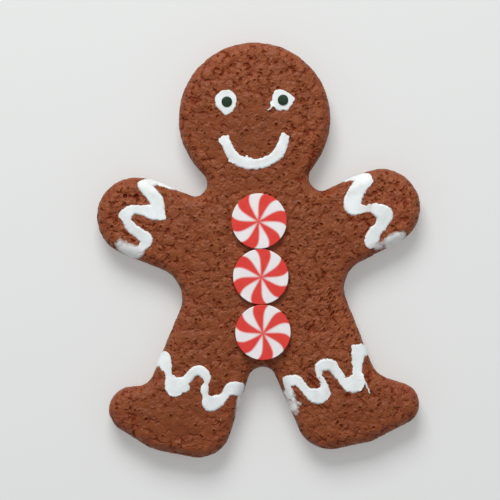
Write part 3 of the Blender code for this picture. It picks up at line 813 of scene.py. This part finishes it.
cane_tree = turned_tree(cane_clay())
for place_name, row in SLICES.items():
    section = profile_mesh("section " + place_name, slice_section())
    slice_piece = worked("slice_" + place_name, section, cane_tree, {
        "Columns": 2 * STRIPE_PAIRS * STRIPE_COLUMNS, "Stripes": float(STRIPE_PAIRS),
        "Centre": [v * MM for v in row["centre"]] + [0.0],
        "Hub": [v * MM for v in row["hub"]] + [0.0],
        "Radius": SLICE_RADIUS * MM, "Phase": math.radians(row["phase"]),
        "Bend": row["hand"] * math.radians(STRIPE_BEND), "Unevenness": SLICE_WANDER * MM})
    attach(slice_piece, "root")
    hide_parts("candy_" + place_name)


# The icing is white liquid clay, drawn on with a brush in zigzags over the ankles and wrists and
# in one curve for the mouth. It is a thin flat coat with a soft shoulder and a ragged margin,
# and it thins out where a stroke ends.
# Each row of a stroke: x, y, half its width and its height in mm, along the unrolled surface.
ICING_TRAILS = {
    "icing_arm_left": [[
        (-15.0, 11.7, 0.43, 0.35), (-15.9, 12.0, 0.77, 0.4), (-17.0, 12.6, 1.08, 0.45),
        (-18.1, 13.0, 1.04, 0.45), (-19.4, 12.4, 1.08, 0.45), (-20.4, 12.1, 1.0, 0.45),
        (-20.9, 11.7, 1.0, 0.4), (-20.0, 10.8, 1.22, 0.45), (-19.1, 9.9, 1.3, 0.5),
        (-18.3, 8.6, 1.3, 0.5), (-18.0, 7.0, 1.26, 0.5)],
        [(-18.1, 6.7, 1.25, 0.5), (-19.2, 6.75, 1.38, 0.5), (-20.9, 7.2, 1.03, 0.45),
         (-22.4, 7.3, 0.86, 0.45), (-23.8, 6.6, 1.13, 0.45), (-25.0, 5.9, 0.24, 0.3)],
        [(-23.8, 6.4, 1.1, 0.45), (-23.6, 5.1, 0.95, 0.45), (-22.6, 3.8, 1.08, 0.45),
         (-21.3, 2.8, 1.12, 0.45), (-20.2, 1.9, 1.26, 0.45), (-20.6, 0.9, 1.0, 0.4),
         (-21.3, 0.2, 0.8, 0.32), (-22.2, -0.1, 0.7, 0.24)],
        [(-17.9, 6.5, 1.15, 0.45), (-17.4, 6.05, 0.72, 0.45), (-17.0, 5.7, 0.4, 0.4)]],
    "icing_arm_right": [[
        (15.6, 13.1, 0.54, 0.35), (16.6, 13.4, 0.81, 0.4), (17.9, 13.1, 1.08, 0.45),
        (19.0, 12.7, 1.49, 0.45), (18.4, 11.7, 1.49, 0.5), (17.6, 10.3, 1.57, 0.5),
        (16.9, 8.8, 1.66, 0.5), (17.1, 7.7, 1.49, 0.5), (19.0, 7.4, 0.76, 0.3),
        (20.1, 7.5, 0.9, 0.22), (21.3, 7.3, 1.19, 0.45), (22.7, 6.4, 1.55, 0.5),
        (22.4, 5.1, 1.3, 0.45), (21.9, 4.2, 1.14, 0.4), (21.0, 3.2, 1.24, 0.4),
        (20.4, 2.1, 1.38, 0.4), (20.1, 1.4, 1.2, 0.35)],
        [(19.2, 12.6, 1.0, 0.45), (20.3, 12.45, 0.4, 0.35)],
        [(20.1, 1.4, 0.9, 0.35), (21.2, 0.9, 0.7, 0.24), (21.9, 0.9, 0.5, 0.2)]],
    "icing_leg_left": [[
        (-18.8, -20.2, 0.9, 0.4), (-17.9, -19.7, 1.35, 0.45), (-17.1, -19.7, 1.49, 0.45),
        (-16.9, -20.9, 1.0, 0.4), (-16.5, -21.6, 0.75, 0.35), (-16.2, -22.5, 0.6, 0.3),
        (-15.6, -23.8, 1.3, 0.45), (-15.1, -24.6, 1.78, 0.5), (-14.2, -24.2, 1.3, 0.5),
        (-13.4, -23.8, 1.05, 0.5), (-12.6, -22.9, 0.88, 0.45), (-11.7, -22.0, 1.0, 0.45),
        (-10.8, -21.7, 1.06, 0.45), (-9.8, -22.2, 1.06, 0.45), (-9.3, -23.1, 0.8, 0.4),
        (-9.4, -24.0, 0.52, 0.26), (-9.7, -24.7, 0.76, 0.4), (-9.75, -25.3, 0.85, 0.45),
        (-9.6, -26.2, 0.7, 0.4), (-9.2, -27.1, 1.0, 0.45), (-8.8, -27.7, 1.4, 0.5),
        (-7.8, -27.4, 1.35, 0.5), (-6.8, -27.0, 1.04, 0.45), (-5.9, -26.0, 0.83, 0.4),
        (-5.3, -25.1, 1.04, 0.45), (-4.4, -24.9, 1.4, 0.45), (-3.3, -25.0, 1.26, 0.4)],
        [(-13.7, -24.5, 1.25, 0.45), (-13.1, -24.75, 0.85, 0.4)],
        [(-15.1, -24.9, 1.3, 0.45), (-15.0, -25.9, 0.6, 0.4)],
        [(-17.4, -19.3, 0.9, 0.4), (-16.4, -19.4, 0.75, 0.4), (-16.2, -20.4, 0.65, 0.4),
         (-16.1, -21.6, 0.58, 0.4), (-16.1, -22.6, 0.55, 0.4)],
        [(-3.3, -25.0, 1.0, 0.35), (-2.8, -26.3, 0.7, 0.25)]],
    "icing_leg_right": [[
        (4.7, -23.2, 0.32, 0.3), (5.2, -23.3, 0.8, 0.4), (6.1, -23.5, 1.02, 0.4),
        (6.9, -23.5, 1.05, 0.45), (7.7, -24.3, 0.99, 0.45), (8.6, -25.4, 0.9, 0.45),
        (9.5, -26.0, 1.17, 0.5), (10.5, -26.3, 1.48, 0.5), (11.5, -26.0, 1.35, 0.5),
        (11.8, -24.6, 0.83, 0.35), (11.4, -23.4, 0.64, 0.3), (10.9, -22.4, 0.6, 0.35),
        (11.1, -21.0, 1.01, 0.45), (12.2, -20.6, 1.15, 0.45), (13.2, -20.8, 1.12, 0.45),
        (14.0, -21.8, 1.01, 0.45), (14.8, -22.9, 0.9, 0.4), (15.6, -24.0, 0.95, 0.4),
        (17.2, -24.1, 1.71, 0.5), (17.8, -22.8, 1.06, 0.45), (17.75, -21.6, 0.96, 0.4),
        (17.8, -20.2, 1.06, 0.4), (17.95, -18.9, 1.3, 0.45), (17.9, -18.1, 1.05, 0.45),
        (18.4, -18.0, 1.08, 0.4), (19.3, -18.1, 1.1, 0.4), (20.2, -17.8, 0.75, 0.35)],
        [(5.2, -23.4, 0.8, 0.4), (5.2, -24.5, 0.8, 0.35), (5.5, -25.5, 0.62, 0.3),
         (5.7, -26.4, 0.5, 0.22)],
        [(17.5, -18.0, 0.7, 0.4), (17.05, -17.4, 0.4, 0.35)],
        [(18.3, -17.9, 0.9, 0.4), (18.7, -17.2, 0.5, 0.4)],
        [(12.2, -25.4, 0.7, 0.4), (12.8, -26.0, 0.35, 0.3)],
        [(18.9, -23.2, 0.2, 0.8), (19.45, -24.5, 0.17, 0.8), (20.0, -25.7, 0.15, 0.7)]],
    "icing_smile": [[
        (-6.2, 19.7, 0.9, 0.4), (-5.8, 19.1, 1.01, 0.45), (-5.3, 18.1, 1.04, 0.5),
        (-4.7, 17.1, 1.06, 0.5), (-3.8, 16.2, 1.06, 0.5), (-2.6, 15.7, 1.06, 0.5),
        (-1.3, 15.5, 1.12, 0.5), (0.1, 15.5, 1.03, 0.5), (1.4, 15.9, 1.06, 0.5),
        (2.6, 16.5, 1.04, 0.5), (3.6, 17.4, 1.13, 0.5), (4.2, 18.5, 1.08, 0.5),
        (4.5, 19.4, 1.01, 0.45), (4.55, 19.9, 0.9, 0.4), (4.45, 20.8, 0.42, 0.35)],
        [(-6.5, 19.6, 0.7, 0.4), (-6.9, 19.9, 0.35, 0.3)],
        [(-5.9, 19.8, 0.7, 0.4), (-5.5, 20.35, 0.35, 0.3)],
        [(-4.6, 16.6, 0.8, 0.45), (-5.2, 16.0, 0.28, 0.35)],
        [(-2.1, 16.0, 0.6, 0.45), (-2.05, 16.85, 0.26, 0.35)],
        [(4.7, 19.7, 0.8, 0.4), (5.2, 20.35, 0.34, 0.35)]],
}
# In mm: the grain of the mass that is swept, the step along a line, how far the coat reaches into
# the clay and how far its margin wanders, with this many rags to the mm. The shoulder is a share
# of the stroke's width, and the coat a share of the height given in a row.
ICING_VOXEL = 0.11
ICING_STEP = 0.12
ICING_SINK = 0.35
ICING_WANDER = 0.6
ICING_RAGS = 1.3
ICING_SHOULDER = 0.4
ICING_COAT = 0.75
ICING_CLOUDS = 1.8
BRISTLE_DRAG = {"size": 0.5, "strength": 0.3, "depth": 0.06, "detail": 2.0}


def lay(points, heights):
    """Wrap flat points onto the face, over the rim and down the side, and lift them off it."""
    depths, normals = from_edge(points)
    turn = np.clip((RIM_RADIUS - depths) / RIM_RADIUS, 0.0, math.pi / 2)
    drop = np.maximum(RIM_RADIUS - depths - RIM_RADIUS * math.pi / 2, 0.0)
    reach = RIM_RADIUS + heights
    inset = RIM_RADIUS - reach * np.sin(turn)
    wrapped = points + normals * (depths - inset)[:, None]
    over_rim = depths < RIM_RADIUS
    flat = np.where(over_rim[:, None], wrapped, points)
    low = SHOULDER - RIM_RADIUS + reach * np.cos(turn) - drop
    z = np.where(over_rim, low, crowned(depths) + heights)
    return np.column_stack([flat, z])


def trail_mesh(name, strokes):
    """The middle lines of the strokes, in mm, with their half width and height per point."""
    rows = [row for stroke in strokes for row in stroke]
    edges = []
    first = 0
    for stroke in strokes:
        edges += [(first + i, first + i + 1) for i in range(len(stroke) - 1)]
        first += len(stroke)
    mesh = bpy.data.meshes.new(name)
    mesh.from_pydata([(row[0], row[1], 0.0) for row in rows], edges, [])
    for label, column in (("half width", 2), ("crest", 3)):
        layer = mesh.attributes.new(label, "FLOAT", "POINT")
        layer.data.foreach_set("value", [row[column] for row in rows])
    return mesh


def icing_tree(material):
    """Sweep a stroke along its middle line as one soft mass, then flatten it to a low coat."""
    tree, given = new_work("brushed stroke", {
        "Voxel": "Float", "Shoulder": "Float", "Coat": "Float", "Sink": "Float",
        "Wander": "Float", "Step": "Float"})
    width = add_node(tree, "GeometryNodeInputNamedAttribute", {"Name": "half width"},
                     data_type="FLOAT").outputs[0]
    crest = add_node(tree, "GeometryNodeInputNamedAttribute", {"Name": "crest"},
                     data_type="FLOAT").outputs[0]
    line = add_node(tree, "GeometryNodeMeshToCurve", {0: given["Geometry"]})
    smooth = add_node(tree, "GeometryNodeCurveSplineType", {0: line.outputs[0]},
                      spline_type="CATMULL_ROM")
    fine = add_node(tree, "GeometryNodeResampleCurve",
                    {"Curve": smooth.outputs[0], "Length": given["Step"]}, mode="LENGTH")
    dots = add_node(tree, "GeometryNodeCurveToPoints", {0: fine.outputs[0]}, mode="EVALUATED")
    mass = add_node(tree, "GeometryNodePointsToVolume",
                    {"Points": dots.outputs[0], "Radius": width, "Voxel Size": given["Voxel"]},
                    resolution_mode="VOXEL_SIZE")
    skin = add_node(tree, "GeometryNodeVolumeToMesh",
                    {"Volume": mass.outputs[0], "Voxel Size": given["Voxel"]},
                    resolution_mode="VOXEL_SIZE")
    # the width and height of the stroke are taken from the nearest row, and blurred where two meet
    place = add_node(tree, "GeometryNodeInputPosition").outputs[0]
    level = add_node(tree, "ShaderNodeVectorMath", {0: place, 1: (1.0, 1.0, 0.0)},
                     operation="MULTIPLY")
    near = add_node(tree, "GeometryNodeSampleNearest",
                    {"Geometry": dots.outputs[0], "Sample Position": level.outputs[0]})
    even = []
    for value, rounds in ((width, 10), (crest, 30)):
        nearest = add_node(tree, "GeometryNodeSampleIndex",
                           {"Geometry": dots.outputs[0], "Value": value, "Index": near.outputs[0]})
        even.append(add_node(tree, "GeometryNodeBlurAttribute",
                             {0: nearest.outputs[0], "Iterations": rounds}, data_type="FLOAT"))
    even_half, even_top = even
    coat_top = add_node(tree, "ShaderNodeMath", {0: even_top.outputs[0], 1: given["Coat"]},
                        operation="MULTIPLY")
    at = add_node(tree, "ShaderNodeSeparateXYZ", {0: place})
    # the coat rises to its full height over a shoulder, which is narrower on a thin line
    doubled = add_node(tree, "ShaderNodeMath", {0: even_half.outputs[0], 1: 2.0}, operation="MULTIPLY")
    narrow = add_node(tree, "ShaderNodeMath", {0: even_half.outputs[0], 1: 1.0}, operation="MINIMUM")
    shoulder = add_node(tree, "ShaderNodeMath", {0: narrow.outputs[0], 1: given["Shoulder"]},
                        operation="MULTIPLY")
    full = add_node(tree, "ShaderNodeMath", {0: doubled.outputs[0], 1: shoulder.outputs[0]},
                    operation="MULTIPLY")
    above = add_node(tree, "ShaderNodeMath", {0: at.outputs[2], 1: 0.0}, operation="MAXIMUM")
    square = add_node(tree, "ShaderNodeMath", {0: above.outputs[0], 1: 2.0}, operation="POWER")
    raised = add_node(tree, "ShaderNodeMath", {0: square.outputs[0], 1: full.outputs[0]},
                      operation="DIVIDE", use_clamp=True)
    missing = add_node(tree, "ShaderNodeMath", {0: 1.0, 1: raised.outputs[0]}, operation="SUBTRACT")
    soft = add_node(tree, "ShaderNodeMath", {0: missing.outputs[0], 1: 2.0}, operation="POWER")
    round_top = add_node(tree, "ShaderNodeMath", {0: 1.0, 1: soft.outputs[0]}, operation="SUBTRACT")
    upper = add_node(tree, "ShaderNodeMath", {0: round_top.outputs[0], 1: coat_top.outputs[0]},
                     operation="MULTIPLY")
    below = add_node(tree, "ShaderNodeMath", {0: at.outputs[2], 1: 0.0}, operation="MINIMUM")
    down = add_node(tree, "ShaderNodeMath", {0: given["Sink"], 1: -1.0}, operation="MULTIPLY")
    lower = add_node(tree, "ShaderNodeMath", {0: below.outputs[0], 1: down.outputs[0]},
                     operation="MAXIMUM")
    height = add_node(tree, "ShaderNodeMath", {0: upper.outputs[0], 1: lower.outputs[0]},
                      operation="ADD")
    # the margin wanders in and out between the bumps of the brown clay
    ragged = add_node(tree, "ShaderNodeTexNoise",
                      {"Vector": level.outputs[0], "Scale": ICING_RAGS, "Detail": 3.0,
                       "Roughness": 0.62})
    centred = add_node(tree, "ShaderNodeVectorMath",
                       {0: ragged.outputs["Color"], 1: (0.5, 0.5, 0.5)}, operation="SUBTRACT")
    wander = add_node(tree, "ShaderNodeVectorMath",
                      {0: centred.outputs[0], "Scale": given["Wander"]}, operation="SCALE")
    moved = add_node(tree, "ShaderNodeVectorMath", {0: place, 1: wander.outputs[0]}, operation="ADD")
    plan = add_node(tree, "ShaderNodeSeparateXYZ", {0: moved.outputs[0]})
    new_place = add_node(tree, "ShaderNodeCombineXYZ",
                         {0: plan.outputs[0], 1: plan.outputs[1], 2: height.outputs[0]})
    known = add_node(tree, "GeometryNodeStoreNamedAttribute",
                     {"Geometry": skin.outputs[0], "Name": "coat", "Value": height.outputs[0]},
                     data_type="FLOAT")
    shaped = add_node(tree, "GeometryNodeSetPosition",
                      {"Geometry": known.outputs[0], "Position": new_place.outputs[0]})
    hand_out(tree, shaped.outputs[0], material)
    return tree


def white_icing():
    """Liquid polymer clay, brushed on and baked."""
    # it gives the eye a matt white, faintly uneven, with the brown showing through its thin margin
    material, tree, shader = new_finish("liquid polymer clay, white, brushed on",
                                        Roughness=0.55, IOR=1.5)
    place = add_node(tree, "ShaderNodeTexCoord").outputs["Object"]
    tones = cloudy_tone(tree, place, ICING_CLOUDS, "#DDE0DC", "#E9EDEC", (0.3, 0.6))
    coat = add_node(tree, "ShaderNodeAttribute", attribute_name="coat").outputs["Fac"]
    thin = add_node(tree, "ShaderNodeMapRange",
                    {"Value": coat, "From Min": 0.05, "From Max": 0.25, "To Min": 0.6, "To Max": 0.0})
    colour = add_node(tree, "ShaderNodeMix",
                      {0: thin.outputs[0], 6: tones, 7: hex_colour("#A8826E")},
                      data_type="RGBA")
    tree.links.new(colour.outputs[2], shader.inputs["Base Color"])
    tree.links.new(fine_grain(tree, place, **BRISTLE_DRAG), shader.inputs["Normal"])
    return material


def brushed_on(name, strokes, node, wander):
    """A stroke or two of icing, laid over the figure in the place of its CAD node."""
    piece = worked(name, trail_mesh(name + " lines", strokes), brush_tree, {
        "Voxel": ICING_VOXEL, "Shoulder": ICING_SHOULDER, "Coat": ICING_COAT, "Sink": ICING_SINK,
        "Wander": wander, "Step": ICING_STEP})
    points = np.empty(3 * len(piece.data.vertices))
    piece.data.vertices.foreach_get("co", points)
    points = points.reshape(-1, 3) * MM
    piece.data.vertices.foreach_set("co", lay(points[:, :2], points[:, 2]).ravel())
    piece.data.update()
    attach(piece, "root")
    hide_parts(node)


brush_tree = icing_tree(white_icing())
for trail_name, trail_strokes in ICING_TRAILS.items():
    brushed_on("brushed_" + trail_name, trail_strokes, trail_name, ICING_WANDER)


# The eyes are two blobs of the same icing, dabbed on with a brush that left a thin tail on the
# right one. Each has a flat dot of dark green clay pressed on for its pupil.
EYE_BLOBS = {
    "eye_left": [[(-7.2, 26.9, 0.75, 0.35), (-6.2, 27.0, 1.65, 0.4), (-5.7, 27.0, 1.78, 0.4),
                  (-5.75, 25.9, 1.4, 0.4), (-5.8, 25.0, 0.82, 0.35)],
                 [(-5.7, 27.2, 1.4, 0.4), (-5.55, 28.1, 0.9, 0.35)],
                 [(-5.4, 26.5, 1.3, 0.4), (-4.75, 26.1, 0.85, 0.35)],
                 [(-6.75, 26.3, 1.1, 0.4), (-6.35, 25.75, 0.95, 0.4), (-5.3, 25.7, 1.1, 0.4)]],
    "eye_right": [[(3.45, 28.25, 0.8, 0.35), (4.0, 27.3, 1.6, 0.4), (4.3, 26.9, 1.6, 0.4),
                   (4.9, 25.8, 0.85, 0.35)],
                  [(4.9, 27.3, 1.2, 0.4), (5.5, 27.1, 0.9, 0.35), (6.3, 27.25, 0.28, 0.3)],
                  [(4.6, 26.6, 1.2, 0.4), (5.3, 26.45, 0.95, 0.35)],
                  [(4.2, 26.6, 1.2, 0.4), (3.9, 25.85, 0.95, 0.35)],
                  [(3.6, 26.6, 1.0, 0.4), (2.65, 26.45, 0.6, 0.35)],
                  [(2.5, 26.1, 0.25, 0.6), (2.25, 25.6, 0.16, 0.8), (1.75, 25.2, 0.14, 0.8)]],
}
EYE_WANDER = 0.45
for eye_name, eye_strokes in EYE_BLOBS.items():
    brushed_on("white_of_" + eye_name, eye_strokes, eye_name, EYE_WANDER)

PUPIL_RADIUS = 0.95
PUPIL_FOOT = 6.25
PUPIL_TOP = 6.62
PUPIL_WALL = 0.1
PUPIL_WANDER = 0.12
PUPIL_COLUMNS = 40
PUPIL_CENTRES = {"pupil_left": (-5.7, 26.7), "pupil_right": (4.4, 27.0)}


def pupil_section():
    """A low dome with a round shoulder on a short upright wall."""
    corners = [(0.0, PUPIL_TOP)]
    shoulder = PUPIL_FOOT + PUPIL_WALL
    for turn in np.linspace(0.15, math.pi / 2, 9):
        corners.append((PUPIL_RADIUS * math.sin(turn),
                        shoulder + (PUPIL_TOP - shoulder) * math.cos(turn) ** 0.5))
    return corners + [(PUPIL_RADIUS, PUPIL_FOOT), (0.0, PUPIL_FOOT)]


def green_clay():
    """Dark green polymer clay, pressed flat and baked."""
    # it gives the eye a matt dark dot, faintly clouded
    material, tree, shader = new_finish("polymer clay, dark green, pressed flat",
                                        Roughness=0.55, IOR=1.5, Specular_IOR_Level=0.25)
    place = add_node(tree, "ShaderNodeTexCoord").outputs["Object"]
    green = cloudy_tone(tree, place, CLOUD_SIZE, "#1C2E1D", "#243824")
    tree.links.new(green, shader.inputs["Base Color"])
    tree.links.new(fine_grain(tree, place), shader.inputs["Normal"])
    return material


pupil_tree = turned_tree(green_clay())
for pupil_name, (x, y) in PUPIL_CENTRES.items():
    section = profile_mesh("section " + pupil_name, pupil_section())
    pupil = worked("dot_" + pupil_name, section, pupil_tree, {
        "Columns": PUPIL_COLUMNS, "Stripes": 0.0, "Phase": 0.0, "Bend": 0.0,
        "Centre": [x * MM, y * MM, 0.0], "Hub": [0.0, 0.0, 0.0],
        "Radius": PUPIL_RADIUS * MM, "Unevenness": PUPIL_WANDER * MM})
    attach(pupil, "root")
    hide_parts(pupil_name)


# The setting is a plain pale floor, daylight from all round and one large soft window beyond the
# head. The camera looks straight down, its middle a little to the left of the figure's.
FLOOR_HALF = 0.6
FLOOR_TOP = -0.02 * MM
FLOOR_GLOW = 0.24
DAYLIGHT = 0.42
WINDOW_PLACE = (-0.08, 0.44, 0.44)
WINDOW_SIZE = (0.35, 0.3)
WINDOW_POWER = 3.35
VIEW_CENTRE = (-1.53 * MM, 0.0)
VIEW_DISTANCE = 0.6
VIEW_LENS = 240.0

floor_mesh = bpy.data.meshes.new("floor")
floor_corners = [(-1, -1), (1, -1), (1, 1), (-1, 1)]
floor_mesh.from_pydata([(FLOOR_HALF * x, FLOOR_HALF * y, FLOOR_TOP) for x, y in floor_corners], [],
                       [(0, 1, 2, 3)])
floor = bpy.data.objects.new("floor", floor_mesh)
bpy.context.scene.collection.objects.link(floor)
floor_mesh.materials.append(new_finish(
    "matt pale board", Roughness=0.9, Base_Color=hex_colour("#C5C6C4"),
    Emission_Color=hex_colour("#F6F5F0"), Emission_Strength=FLOOR_GLOW)[0])

world = bpy.data.worlds.new("daylight")
world.use_nodes = True
sky = world.node_tree.nodes["Background"]
sky.inputs["Color"].default_value = hex_colour("#F4F8FF")
sky.inputs["Strength"].default_value = DAYLIGHT
bpy.context.scene.world = world

window = bpy.data.lights.new("window", "AREA")
window.shape = "RECTANGLE"
window.size, window.size_y = WINDOW_SIZE
window.energy = WINDOW_POWER
window_object = bpy.data.objects.new("window", window)
window_object.location = WINDOW_PLACE
aim = -window_object.location
window_object.rotation_euler = aim.to_track_quat("-Z", "Y").to_euler()
bpy.context.scene.collection.objects.link(window_object)

lens = bpy.data.cameras.new("view from above")
lens.lens = VIEW_LENS
lens.clip_start = 0.01
camera = bpy.data.objects.new("view from above", lens)
camera.location = (*VIEW_CENTRE, SLAB_HEIGHT + VIEW_DISTANCE)
bpy.context.scene.collection.objects.link(camera)
bpy.context.scene.camera = camera
bpy.context.scene.view_settings.view_transform = "Standard"
